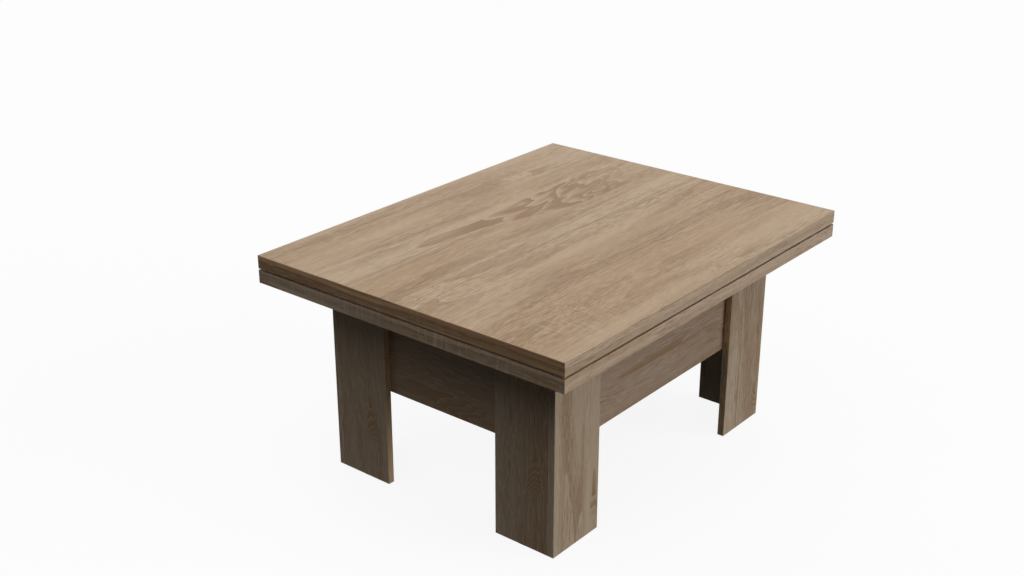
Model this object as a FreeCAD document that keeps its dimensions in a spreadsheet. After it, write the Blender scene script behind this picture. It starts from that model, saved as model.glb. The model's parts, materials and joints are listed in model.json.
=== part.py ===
"""Extending coffee table: a lift-and-unfold top on an L-legged base, in millimetres.

The origin is on the floor under the middle of the top. X runs along the long side, Y towards the back
edge that the leaves fold on, and Z up. The table is drawn closed, with the top down.
"""
import FreeCAD, Part
import math
import os
import re

import Sketcher
from FreeCAD import Placement, Rotation, Vector

SIZES = [
    # Top leaves
    ("top_length", 1000),
    ("top_width", 800),
    ("leaf_thick", 30),
    ("leaf_gap", 2.5),
    ("edging_thick", 2),
    ("edging_ease", 1),
    ("bumper_side", 12),
    ("bumper_inset", 40),
    # Base boards
    ("base_length", 786),
    ("base_width", 597),
    ("board_thick", 16),
    ("board_chamfer", 0.6),
    ("leg_face_long", 147),
    ("leg_face_short", 149),
    ("leg_height", 439),
    ("apron_height", 220),
    ("glide_height", 1),
    ("glide_inset", 1.5),
    ("pad_height", 2.5),
    ("pad_length", 40),
    ("pad_width", 10),
    ("pad_inset", 120),
    # Wood screws and dowels
    ("fastener_fit", 0.1),
    ("screw_head_height", 2),
    ("apron_screw_length", 50),
    ("apron_screw_head", 5),
    ("apron_screw_shank", 3.5),
    ("apron_screw_inset", 40),
    ("leg_screw_step", 10),
    ("leg_screw_side", 20),
    ("screw_head", 4),
    ("screw_shank", 2),
    ("board_screw_cover", 4),
    ("bracket_screw_inset", 16),
    ("bracket_screw_gap", 76),
    ("leaf_screw_cover", 10),
    ("rail_screw_inset", 22),
    ("dowel_radius", 4),
    ("dowel_in_edge", 20),
    ("dowel_in_face", 12),
    ("dowel_inset", 60),
    # Lift arms and pivots
    ("lift_end_gap", 31.5),
    ("arm_rest_angle", 8),
    ("arm_swing", 100),
    ("arm_width", 32),
    ("arm_thick", 6),
    ("top_pivot_drop", 20.6),
    ("arm_spread", 90),
    ("arm_step", 32),
    ("axle_radius", 16),
    ("axle_wall", 2.5),
    ("axle_eye_wall", 8),
    ("bush_length", 25),
    ("bush_proud", 0.2),
    ("pin_radius", 6),
    ("pin_head_radius", 10),
    ("pin_head_thick", 3),
    ("pin_end", 2),
    ("pivot_fit", 0.05),
    ("cross_tube_radius", 12.5),
    ("cross_tube_wall", 2),
    ("contact_gap", 0.3),
    # Brackets and rails
    ("bracket_thick", 4),
    ("bracket_cut", 14),
    ("bracket_front", 57),
    ("bracket_back", 37),
    ("bracket_below", 8),
    ("bracket_top_gap", 10.5),
    ("stop_reach", 40),
    ("stop_radius", 6),
    ("spring_rail_side", 25),
    ("spring_rail_wall", 2),
    ("spring_rail_drop", 57),
    ("rail_thick", 4),
    ("rail_width", 34),
    ("rail_front", 200),
    ("lug_margin", 18),
    ("lug_cut", 10),
    # Torsion springs
    ("wire_radius", 4),
    ("coil_clear", 2),
    ("coil_turns", 3),
    ("coil_gap", 3),
    ("coil_side_gap", 3),
    ("seat_reach", 100),
    ("seat_pin_radius", 5),
    ("seat_pin_length", 18),
    ("spring_leg_past", 12),
    # Leaf hinges
    ("hinge_length", 60),
    ("hinge_reach", 25),
    ("hinge_spacing", 380),
    ("hinge_offset", 0.5),
    ("hinge_play", 0.15),
    ("knuckle_radius", 1.8),
    ("knuckle_gap", 0.4),
    ("hinge_pin_radius", 1),
]

os.makedirs("parts", exist_ok=True)
doc = FreeCAD.newDocument("extending_table")
sheet = doc.addObject("Spreadsheet::Sheet", "sizes")
for row, (alias, size) in enumerate(SIZES, start=1):
    sheet.set(f"A{row}", alias)
    sheet.set(f"B{row}", str(size))
    sheet.setAlias(f"B{row}", alias)
doc.recompute()

ALIASES = {alias for alias, size in SIZES}
NODES = []


def expression(formula):
    """A formula in size names, written as an expression on the sheet's cells."""
    return re.sub(r"[a-z]\w*", lambda m: f"sizes.{m[0]}" if m[0] in ALIASES else m[0], str(formula))


def value(formula):
    """What a formula comes to, as a plain number."""
    return float(sheet.evalExpression(expression(formula)))


def bind(item, prop, formula):
    item.setExpression(prop, expression(formula))


def place(item, x, y, z):
    for axis, formula in (("x", x), ("y", y), ("z", z)):
        bind(item, f"Placement.Base.{axis}", formula)


def node(item):
    """Mark a finished piece, or a group of like pieces, as one that is written out."""
    NODES.append(item)
    return item


def span(side, near, far):
    """Low and high X of what lies from near to far of the middle, on the left (-1) or right (1)."""
    return (near, far) if side > 0 else (f"-({far})", f"-({near})")


# Plain solids, with small screws, dowels and heads drawn many-sided to keep them light

SCREW_SIDES = 6
DOWEL_SIDES = 8
TURNS = {
    "+x": Rotation(Vector(0, 1, 0), 90),
    "-x": Rotation(Vector(0, 1, 0), -90),
    "+y": Rotation(Vector(1, 0, 0), -90),
    "-y": Rotation(Vector(1, 0, 0), 90),
    "+z": Rotation(),
}


def block(label, x, y, z):
    """A rectangular solid from the low to the high formula on each axis."""
    item = doc.addObject("Part::Box", label)
    for prop, (low, high) in (("Length", x), ("Width", y), ("Height", z)):
        bind(item, prop, f"({high}) - ({low})")
    place(item, x[0], y[0], z[0])
    return item


def square(label, side, x, y, z):
    """A square pad about the point (x, y), from the low to the high Z formula."""
    across = (f"{x} - {side} / 2", f"{x} + {side} / 2")
    along = (f"{y} - {side} / 2", f"{y} + {side} / 2")
    return block(label, across, along, z)


def rod(label, radius, way, start, length):
    """A cylinder from its start point along one of the turns."""
    item = doc.addObject("Part::Cylinder", label)
    item.Placement = Placement(Vector(), TURNS[way])
    bind(item, "Radius", radius)
    bind(item, "Height", length)
    place(item, *start)
    return item


def prism(label, sides, radius, way, start, length):
    """A bar with a regular section, from its start point along one of the turns."""
    item = doc.addObject("Part::Prism", label)
    item.Polygon = sides
    item.Placement = Placement(Vector(), TURNS[way])
    bind(item, "Circumradius", radius)
    bind(item, "Height", length)
    place(item, *start)
    return item


def cross_rod(label, radius, x, y, z):
    """A cylinder along X, from the low to the high X formula."""
    return rod(label, radius, "+x", (x[0], y, z), f"({x[1]}) - ({x[0]})")


def joined(label, items):
    item = doc.addObject("Part::MultiFuse", label)
    item.Shapes = items
    return item


def group(label, items):
    item = doc.addObject("Part::Compound", label)
    item.Links = items
    return item


def cut(label, base, tool):
    item = doc.addObject("Part::Cut", label)
    item.Base = base
    item.Tool = tool
    return item


def tube(label, radius, wall, x, y, z):
    outer = cross_rod(f"{label}_outside", radius, x, y, z)
    inner = cross_rod(f"{label}_inside", f"{radius} - {wall}", x, y, z)
    return cut(label, outer, inner)


def screw(label, head, shank, length, way, start, grown="0"):
    """A screw with its head sunk flush at the start point; grown widens it into the drill for its hole."""
    top = prism(f"{label}_head", SCREW_SIDES, f"{head} + {grown}", way, start, "screw_head_height")
    shaft = prism(f"{label}_shaft", SCREW_SIDES, f"{shank} + {grown}", way, start, f"{length} + {grown}")
    return joined(label, [top, shaft])


def screw_set(label, head, shank, length, places):
    """A node of like screws at (way, start) places, and the drills that make their holes, in order."""
    screws = []
    drills = []
    for number, (way, start) in enumerate(places, start=1):
        screws.append(screw(f"{label}_{number}", head, shank, length, way, start))
        drills.append(screw(f"{label}_drill_{number}", head, shank, length, way, start, "fastener_fit"))
    node(group(label, screws))
    return drills


# Sketched solids


def sketch_on(body, plane):
    """A new sketch on one of the body's own origin planes."""
    sketch = body.newObject("Sketcher::SketchObject", f"{body.Label}_sketch")
    support = [f for f in body.Origin.OriginFeatures if f.Role == plane]
    sketch.AttachmentSupport = [(support[0], "")]
    sketch.MapMode = "FlatFace"
    return sketch


def dimension(sketch, name, formula, kind, *where):
    """A named sketch dimension that follows a formula."""
    index = sketch.addConstraint(Sketcher.Constraint(kind, *where, value(formula)))
    sketch.renameConstraint(index, name)
    bind(sketch, f"Constraints.{name}", formula)


def outline(sketch, corners):
    """A closed outline of straight sides whose corners follow (across, up) formulas."""
    points = [Vector(value(across), value(up), 0) for across, up in corners]
    count = len(points)
    for i, point in enumerate(points):
        sketch.addGeometry(Part.LineSegment(point, points[(i + 1) % count]), False)
    for i, (across, up) in enumerate(corners):
        sketch.addConstraint(Sketcher.Constraint("Coincident", i, 2, (i + 1) % count, 1))
        dimension(sketch, f"across_{i}", across, "DistanceX", -1, 1, i, 1)
        dimension(sketch, f"up_{i}", up, "DistanceY", -1, 1, i, 1)


def hole(sketch, name, radius, across, up):
    """A round hole in a sketch, with its radius and centre bound to formulas."""
    centre = Vector(value(across), value(up), 0)
    circle = sketch.addGeometry(Part.Circle(centre, Vector(0, 0, 1), value(radius)), False)
    dimension(sketch, f"{name}_radius", radius, "Radius", circle)
    dimension(sketch, f"{name}_across", across, "DistanceX", -1, 1, circle, 3)
    dimension(sketch, f"{name}_up", up, "DistanceY", -1, 1, circle, 3)


def padded(body, sketch, length):
    pad = body.newObject("PartDesign::Pad", f"{body.Label}_pad")
    pad.Profile = sketch
    bind(pad, "Length", length)
    return pad


def board(label, x, y, z):
    """A board cut square, with every edge broken by a small chamfer."""
    body = doc.addObject("PartDesign::Body", label)
    width = f"({x[1]}) - ({x[0]})"
    depth = f"({y[1]}) - ({y[0]})"
    sketch = sketch_on(body, "XY_Plane")
    outline(sketch, [("0", "0"), (width, "0"), (width, depth), ("0", depth)])
    pad = padded(body, sketch, f"({z[1]}) - ({z[0]})")
    chamfer = body.newObject("PartDesign::Chamfer", f"{label}_chamfer")
    chamfer.Base = (pad, [])
    chamfer.UseAllEdges = True
    bind(chamfer, "Size", "board_chamfer")
    place(body, x[0], y[0], z[0])
    return body


TOUCH = 1e-4


def edges_near(shape, test):
    """Names of the shape's edges whose middle passes the test."""
    middles = [edge.BoundBox.Center for edge in shape.Edges]
    return [f"Edge{i}" for i, middle in enumerate(middles, start=1) if test(middle)]


def eased(body, base, size, test):
    """Break the edges of the body's last feature whose middle, in the body's own frame, passes the test."""
    doc.recompute()
    chamfer = body.newObject("PartDesign::Chamfer", f"{body.Label}_ease")
    chamfer.Base = (base, edges_near(base.Shape, test))
    bind(chamfer, "Size", size)


# Levels and planes that the pieces share

BASE_TOP = "(glide_height + leg_height)"
LEAF_UNDER = f"({BASE_TOP} + pad_height)"
LEAF_TOP = f"({LEAF_UNDER} + leaf_thick)"
UPPER_UNDER = f"({LEAF_TOP} + leaf_gap)"
APRON_LOW = f"({BASE_TOP} - apron_height)"
END_OUT = "(base_length / 2 - board_thick)"
END_IN = "(base_length / 2 - 2 * board_thick)"
SIDE_OUT = "(base_width / 2 - board_thick)"
SIDE_IN = "(base_width / 2 - 2 * board_thick)"

# Planes of the lift, counted in from the inner face of each short apron
BRACKET_IN = f"({END_IN} - bracket_thick)"
ARM_OUT = f"({BRACKET_IN} - contact_gap)"
ARM_IN = f"({ARM_OUT} - arm_thick)"
LUG_OUT = f"({ARM_IN} - contact_gap)"
LUG_IN = f"({LUG_OUT} - rail_thick)"
RAIL_LOW = f"({LEAF_UNDER} - rail_thick)"

# Pivots in the closed table: rear arms A, front arms B, low on the base and high on the top. The lift
# fills the depth of the apron box, with the same gap in front of it and behind it
BRACKET_FRONT = f"(lift_end_gap - {SIDE_IN})"
RAIL_BACK = f"({SIDE_IN} - lift_end_gap)"
B_Y = f"({BRACKET_FRONT} + bracket_front)"
A_Y = f"({B_Y} + arm_spread)"
A_TOP_Y = f"({RAIL_BACK} - lug_margin)"
B_TOP_Y = f"({A_TOP_Y} - arm_spread)"
REACH_Y = f"({A_TOP_Y} - {A_Y})"
REACH_Z = f"({REACH_Y} * tan(arm_rest_angle))"
ARM_LENGTH = f"({REACH_Y} / cos(arm_rest_angle))"
B_TOP_Z = f"({LEAF_UNDER} - top_pivot_drop)"
A_TOP_Z = f"({B_TOP_Z} - arm_step)"
B_Z = f"({B_TOP_Z} - {REACH_Z})"
A_Z = f"({B_Z} - arm_step)"

SIDES = (("left", -1), ("right", 1))
FRONT_BACK = (("front", -1), ("back", 1))


# Apron box: two long boards that cover the ends of two short ones, held by long screws at each corner

CORNER_SCREW_X = "(base_length / 2 - 1.5 * board_thick)"
apron_screw_places = []
for name, back in FRONT_BACK:
    for end in (-1, 1):
        for level in (f"{APRON_LOW} + apron_screw_inset", f"{BASE_TOP} - apron_screw_inset"):
            start = (f"{end} * {CORNER_SCREW_X}", f"{back} * {SIDE_OUT}", level)
            apron_screw_places.append(("+y" if back < 0 else "-y", start))
apron_drills = screw_set(
    "apron_screws", "apron_screw_head", "apron_screw_shank", "apron_screw_length", apron_screw_places
)

# Leg screws go out through the aprons from inside the box, two into each leg board
LEG_SCREW_INSET = "(apron_screw_inset + leg_screw_step)"
LEG_SCREW_LENGTH = "(2 * board_thick - board_screw_cover)"
leg_screw_places = []
for level in (f"{APRON_LOW} + {LEG_SCREW_INSET}", f"{BASE_TOP} - {LEG_SCREW_INSET}"):
    for end in (-1, 1):
        for back in (-1, 1):
            long_start = (f"{end} * ({END_IN} - leg_screw_side)", f"{back} * {SIDE_IN}", level)
            short_start = (f"{end} * {END_IN}", f"{back} * ({SIDE_IN} - leg_screw_side)", level)
            leg_screw_places.append(("-y" if back < 0 else "+y", long_start))
            leg_screw_places.append(("-x" if end < 0 else "+x", short_start))
leg_drills = screw_set("leg_screws", "screw_head", "screw_shank", LEG_SCREW_LENGTH, leg_screw_places)

# Dowels cross the corner of each leg, from the edge of the short board into the long one
dowels = []
dowel_drills = []
for end in (-1, 1):
    for name, back in FRONT_BACK:
        for level in ("glide_height + dowel_inset", f"{BASE_TOP} - dowel_inset"):
            way = "+y" if back > 0 else "-y"
            x = f"{end} * (base_length / 2 - board_thick / 2)"
            seat = (x, f"{back} * ({SIDE_OUT} - dowel_in_edge)", level)
            length = "dowel_in_edge + dowel_in_face"
            dowels.append(prism("leg_dowel", DOWEL_SIDES, "dowel_radius", way, seat, length))
            start = (x, f"{back} * ({SIDE_OUT} - dowel_in_edge - fastener_fit)", level)
            drill_radius, drill_length = "dowel_radius + fastener_fit", f"{length} + 2 * fastener_fit"
            dowel_drills.append(
                prism("leg_dowel_drill", DOWEL_SIDES, drill_radius, way, start, drill_length)
            )
node(group("leg_dowels", dowels))

# Bracket screws hold the lift brackets on the inside of the short aprons
BRACKET_LOW = f"({A_Z} - spring_rail_drop - spring_rail_side / 2 - bracket_below)"
BRACKET_HIGH = f"({RAIL_LOW} - bracket_top_gap)"
BRACKET_BACK = f"({A_Y} + bracket_back)"
BRACKET_SCREW_LENGTH = "(bracket_thick + board_thick - board_screw_cover)"
low_row = f"{BRACKET_LOW} + bracket_screw_inset"
high_row = f"{BRACKET_HIGH} - bracket_screw_inset"
back_column = f"{BRACKET_BACK} - bracket_screw_inset"
bracket_screw_places = []
for name, side in SIDES:
    for y, z in (
        (f"{BRACKET_FRONT} + bracket_screw_inset", low_row),
        (back_column, low_row),
        (back_column, high_row),
        (f"{back_column} - bracket_screw_gap", high_row),
    ):
        bracket_screw_places.append(("+x" if side > 0 else "-x", (f"{side} * {BRACKET_IN}", y, z)))
bracket_drills = screw_set(
    "bracket_screws", "screw_head", "screw_shank", BRACKET_SCREW_LENGTH, bracket_screw_places
)

all_base_drills = group("base_drills", apron_drills + leg_drills + dowel_drills + bracket_drills)

for name, back in FRONT_BACK:
    y = span(back, SIDE_IN, SIDE_OUT)
    blank = board(f"apron_{name}_board", (f"-{END_OUT}", END_OUT), y, (APRON_LOW, BASE_TOP))
    node(cut(f"apron_{name}", blank, all_base_drills))
for name, side in SIDES:
    x = span(side, END_IN, END_OUT)
    blank = board(f"apron_{name}_board", x, (f"-{SIDE_IN}", SIDE_IN), (APRON_LOW, BASE_TOP))
    node(cut(f"apron_{name}", blank, all_base_drills))


# Legs: each corner has a long-side board that covers the edge of a short-side board, on two floor glides

LEG_SPAN_Z = ("glide_height", BASE_TOP)
GLIDE_SIDE = "(board_thick - 2 * glide_inset)"
glides = []
for end_name, end in SIDES:
    for back_name, back in FRONT_BACK:
        corner = f"{back_name}_{end_name}"
        x = span(end, "base_length / 2 - leg_face_long", "base_length / 2")
        y = span(back, SIDE_OUT, "base_width / 2")
        blank = board(f"leg_{corner}_long_board", x, y, LEG_SPAN_Z)
        node(cut(f"leg_{corner}_long", blank, all_base_drills))
        glides.append((f"({x[0]} + {x[1]}) / 2", f"({y[0]} + {y[1]}) / 2"))
        x = span(end, END_OUT, "base_length / 2")
        y = span(back, "base_width / 2 - leg_face_short", SIDE_OUT)
        blank = board(f"leg_{corner}_short_board", x, y, LEG_SPAN_Z)
        node(cut(f"leg_{corner}_short", blank, all_base_drills))
        glides.append((f"({x[0]} + {x[1]}) / 2", f"({y[0]} + {y[1]}) / 2"))
node(
    group(
        "floor_glides",
        [square("floor_glide", GLIDE_SIDE, x, y, ("0", "glide_height")) for x, y in glides],
    )
)

# Felt pads on the long aprons carry the closed top
pads = []
for end in (-1, 1):
    for back in (-1, 1):
        middle_x = f"{end} * ({END_OUT} - pad_inset)"
        middle_y = f"{back} * (base_width / 2 - 1.5 * board_thick)"
        x = (f"{middle_x} - pad_length / 2", f"{middle_x} + pad_length / 2")
        y = (f"{middle_y} - pad_width / 2", f"{middle_y} + pad_width / 2")
        pads.append(block("rest_pad", x, y, (BASE_TOP, LEAF_UNDER)))
node(group("rest_pads", pads))


# Lift brackets: steel plates with the low pivots, the arm stops and the spring rail between them

STOP_ANGLE = "(arm_rest_angle + arm_swing)"
STOP_SIDE = "(arm_width / 2 + stop_radius + contact_gap)"
STOP_Y = f"({B_Y} + stop_reach * cos({STOP_ANGLE}) - {STOP_SIDE} * sin({STOP_ANGLE}))"
STOP_Z = f"({B_Z} + stop_reach * sin({STOP_ANGLE}) + {STOP_SIDE} * cos({STOP_ANGLE}))"
PIN_HOLE = "(pin_radius + pivot_fit)"
CUT_FRONT, CUT_BACK = f"{BRACKET_FRONT} + bracket_cut", f"{BRACKET_BACK} - bracket_cut"
CUT_LOW, CUT_HIGH = f"{BRACKET_LOW} + bracket_cut", f"{BRACKET_HIGH} - bracket_cut"
BRACKET_OUTLINE = [
    (CUT_FRONT, BRACKET_LOW),
    (CUT_BACK, BRACKET_LOW),
    (BRACKET_BACK, CUT_LOW),
    (BRACKET_BACK, CUT_HIGH),
    (CUT_BACK, BRACKET_HIGH),
    (CUT_FRONT, BRACKET_HIGH),
    (BRACKET_FRONT, CUT_HIGH),
    (BRACKET_FRONT, CUT_LOW),
]


def cross_hex(label, radius, x, y, z):
    """A six-sided bar along X, from the low to the high X formula."""
    return prism(label, SCREW_SIDES, radius, "+x", (x[0], y, z), f"({x[1]}) - ({x[0]})")


axle_pins = []
front_pins = []
stop_pins = []
for name, side in SIDES:
    body = doc.addObject("PartDesign::Body", f"lift_bracket_{name}_plate")
    sketch = sketch_on(body, "YZ_Plane")
    outline(sketch, BRACKET_OUTLINE)
    hole(sketch, "axle", PIN_HOLE, A_Y, A_Z)
    hole(sketch, "front_arm", PIN_HOLE, B_Y, B_Z)
    padded(body, sketch, "bracket_thick")
    place(body, span(side, BRACKET_IN, END_IN)[0], "0", "0")
    drills = group(f"lift_bracket_{name}_drills", bracket_drills[:4] if side < 0 else bracket_drills[4:])
    node(cut(f"lift_bracket_{name}", body, drills))

    pin_in = f"({ARM_OUT} - bush_length)"
    axle_pins.append(cross_rod("axle_pin", "pin_radius", span(side, pin_in, END_IN), A_Y, A_Z))
    stop_pins.append(cross_hex("stop_pin", "stop_radius", span(side, ARM_IN, BRACKET_IN), STOP_Y, STOP_Z))
    head_far = f"({ARM_IN} - contact_gap)"
    head_near = f"({head_far} - pin_head_thick)"
    shank = cross_rod("front_pin_shank", "pin_radius", span(side, head_far, END_IN), B_Y, B_Z)
    head = cross_hex("front_pin_head", "pin_head_radius", span(side, head_near, head_far), B_Y, B_Z)
    front_pins.append(joined("front_arm_pin", [shank, head]))
node(group("axle_pins", axle_pins))
node(group("front_arm_pins", front_pins))
node(group("stop_pins", stop_pins))

COIL_RADIUS = "(axle_radius + coil_clear + wire_radius)"
RAIL_FACE_Y = f"({A_Y} - {COIL_RADIUS} - wire_radius - contact_gap)"
RAIL_MID_Z = f"({A_Z} - spring_rail_drop)"
rail_x = (f"-{BRACKET_IN}", BRACKET_IN)
rail_y = (f"{RAIL_FACE_Y} - spring_rail_side", RAIL_FACE_Y)
rail_z = (f"{RAIL_MID_Z} - spring_rail_side / 2", f"{RAIL_MID_Z} + spring_rail_side / 2")
rail_bore = block(
    "spring_rail_bore",
    rail_x,
    (f"{rail_y[0]} + spring_rail_wall", f"{rail_y[1]} - spring_rail_wall"),
    (f"{rail_z[0]} + spring_rail_wall", f"{rail_z[1]} - spring_rail_wall"),
)
node(cut("spring_rail", block("spring_rail_bar", rail_x, rail_y, rail_z), rail_bore))


# Arms: flat steel links, the rear pair with a wide eye welded on the axle tube


def arm(label, side, low_eye, low_hole, y, z):
    """A link from its low pivot to its high one, with tangent sides between its two round ends."""
    body = doc.addObject("PartDesign::Body", label)
    sketch = sketch_on(body, "YZ_Plane")
    big, small, length = value(low_eye), value("arm_width / 2"), value(ARM_LENGTH)
    lean = math.asin((big - small) / length)
    far = Vector(length, 0, 0)
    up = Vector(math.sin(lean), math.cos(lean), 0)
    down = Vector(math.sin(lean), -math.cos(lean), 0)
    normal = Vector(0, 0, 1)
    top, bottom = math.pi / 2 - lean, 3 * math.pi / 2 + lean
    sketch.addGeometry(Part.ArcOfCircle(Part.Circle(Vector(), normal, big), top, bottom), False)
    sketch.addGeometry(Part.LineSegment(down * big, far + down * small), False)
    sketch.addGeometry(Part.ArcOfCircle(Part.Circle(far, normal, small), bottom - 2 * math.pi, top), False)
    sketch.addGeometry(Part.LineSegment(far + up * small, up * big), False)
    for i in range(4):
        sketch.addConstraint(Sketcher.Constraint("Tangent", i, 2, (i + 1) % 4, 1))
    sketch.addConstraint(Sketcher.Constraint("Coincident", 0, 3, -1, 1))
    sketch.addConstraint(Sketcher.Constraint("PointOnObject", 2, 3, -1))
    dimension(sketch, "low_eye", low_eye, "Radius", 0)
    dimension(sketch, "high_eye", "arm_width / 2", "Radius", 2)
    dimension(sketch, "pivot_distance", ARM_LENGTH, "DistanceX", -1, 1, 2, 3)
    hole(sketch, "low_hole", low_hole, "0", "0")
    hole(sketch, "high_hole", PIN_HOLE, ARM_LENGTH, "0")
    padded(body, sketch, "arm_thick")
    body.Placement = Placement(Vector(), Rotation(Vector(1, 0, 0), value("arm_rest_angle")))
    bind(body, "Placement.Rotation.Angle", "arm_rest_angle")
    place(body, span(side, ARM_IN, ARM_OUT)[0], y, z)
    return body


bushes = []
seat_pins = []
SEAT_Y = f"({A_Y} + seat_reach * cos(arm_rest_angle))"
SEAT_Z = f"({A_Z} + seat_reach * sin(arm_rest_angle))"
AXLE_EYE = "(axle_radius + axle_eye_wall)"
BUSH_RADIUS = "(axle_radius - axle_wall - pivot_fit)"
for name, side in SIDES:
    node(arm(f"rear_arm_{name}", side, AXLE_EYE, "axle_radius + pivot_fit", A_Y, A_Z))
    node(arm(f"front_arm_{name}", side, "arm_width / 2", PIN_HOLE, B_Y, B_Z))
    seat_x = span(side, f"{ARM_IN} - seat_pin_length", ARM_IN)
    seat_pins.append(cross_rod("spring_seat_pin", "seat_pin_radius", seat_x, SEAT_Y, SEAT_Z))
    bush_x = span(side, f"{ARM_OUT} - bush_length", f"{ARM_OUT} + bush_proud")
    bushes.append(tube("axle_bush", BUSH_RADIUS, f"({BUSH_RADIUS} - {PIN_HOLE})", bush_x, A_Y, A_Z))
node(group("axle_bushes", bushes))
node(group("spring_seat_pins", seat_pins))
node(tube("axle_tube", "axle_radius", "axle_wall", (f"-{ARM_OUT}", ARM_OUT), A_Y, A_Z))
CROSS_Y = f"({B_Y} + {REACH_Y} / 2)"
CROSS_Z = f"({B_Z} + {REACH_Z} / 2)"
node(tube("front_arm_tube", "cross_tube_radius", "cross_tube_wall", (f"-{ARM_IN}", ARM_IN), CROSS_Y, CROSS_Z))


# Torsion springs: wire coiled on the axle tube, one leg down on the rail, one under the seat pin

WIRE_SIDES = 6


def arc_from(start, tangent, end):
    """The arc that leaves start along tangent and reaches end."""
    chord = end - start
    half = tangent.getAngle(chord)
    bulge = tangent * (chord.Length / 2 / math.cos(half)) - chord / 2
    middle = start + chord / 2 + bulge.normalize() * (chord.Length / 2 * math.tan(half / 2))
    return Part.Arc(start, middle, end).toShape()


def biarc(start, start_way, end, end_way):
    """Two arcs that meet smoothly and run from start to end along the given ways."""
    gap = end - start
    ways = start_way + end_way
    spread = 2 * (1 - start_way.dot(end_way))
    reach = (math.sqrt(gap.dot(ways) ** 2 + spread * gap.dot(gap)) - gap.dot(ways)) / spread
    knee = start + start_way * reach
    hip = end - end_way * reach
    middle = (knee + hip) / 2
    return [arc_from(start, start_way, middle), arc_from(middle, (hip - knee).normalize(), end)]


def spring_shape(side):
    """The spring's wire, from the foot of its fixed leg to the end of its moving leg."""
    radius, wire, pitch = value(COIL_RADIUS), value("wire_radius"), value("2 * wire_radius + coil_gap")
    axle = Vector(0, value(A_Y), value(A_Z))
    rest = math.radians(value("arm_rest_angle"))
    under_pin = radius + wire + value("contact_gap") + value("seat_pin_radius")
    dip = rest - math.asin(under_pin / value("seat_reach"))
    first, last = math.pi, math.pi / 2 + dip - 2 * math.pi * value("coil_turns")
    quarters = round((first - last) / (math.pi / 2))
    step = (first - last) / quarters
    outer_x = value(f"{ARM_IN} - coil_side_gap - wire_radius")
    lead = pitch / (2 * math.pi)

    def advance(k):
        """How far the coil has come along the axle at quarter k: it starts and ends with no lead."""
        leading = min(max(k - 0.5, 0), quarters - 1)
        return leading * step * lead

    inner_x = outer_x - advance(quarters)

    def at(k):
        angle = first - k * step
        return axle + Vector(side * (inner_x + advance(k)), radius * math.cos(angle), radius * math.sin(angle))

    def way(k):
        angle = first - k * step
        rise = 0 if k in (0, quarters) else side * lead / radius
        return Vector(rise, math.sin(angle), -math.cos(angle)).normalize()

    foot_drop = value("spring_rail_drop + spring_rail_side / 2 + spring_leg_past")
    foot = at(0) - way(0) * foot_drop
    tip = at(quarters) + way(quarters) * value("seat_reach + spring_leg_past")
    edges = [Part.LineSegment(foot, at(0)).toShape()]
    for k in range(quarters):
        edges += biarc(at(k), way(k), at(k + 1), way(k + 1))
    edges.append(Part.LineSegment(at(quarters), tip).toShape())
    path = Part.Wire(edges)
    across = Vector(1, 0, 0)
    spots = [Rotation(way(0), 360 * (i + 0.5) / WIRE_SIDES).multVec(across) for i in range(WIRE_SIDES + 1)]
    section = Part.makePolygon([foot + spot * wire for spot in spots])
    shape = path.makePipeShell([section], True, False)
    points = path.discretize(Distance=wire / 2)
    apart = round(math.pi * radius / (wire / 2))
    pairs = ((p, q) for i, p in enumerate(points) for q in points[i + apart:])
    print(f"spring least gap to itself {min(p.distanceToPoint(q) for p, q in pairs) - 2 * wire:.2f} mm")
    print(f"spring volume over section times length {shape.Volume / Part.Face(section).Area / path.Length:.4f}")
    return shape


springs = doc.addObject("Part::Feature", "torsion_springs")
springs.Shape = Part.makeCompound([spring_shape(side) for name, side in SIDES])
node(springs)


# Top rails: steel angles under the lower leaf, each with a lug for the two high pivots

FLANGE_IN = f"({LUG_OUT} - rail_width)"
RAIL_SCREW_LENGTH = "(rail_thick + leaf_thick - leaf_screw_cover)"
rail_screw_places = []
for name, side in SIDES:
    x = f"{side} * ({LUG_IN} + {FLANGE_IN}) / 2"
    front_y, back_y = "-rail_front + rail_screw_inset", f"{RAIL_BACK} - rail_screw_inset"
    for y in (front_y, f"(({front_y}) + ({back_y})) / 2", back_y):
        rail_screw_places.append(("+z", (x, y, RAIL_LOW)))
rail_drills = screw_set("rail_screws", "screw_head", "screw_shank", RAIL_SCREW_LENGTH, rail_screw_places)

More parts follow.
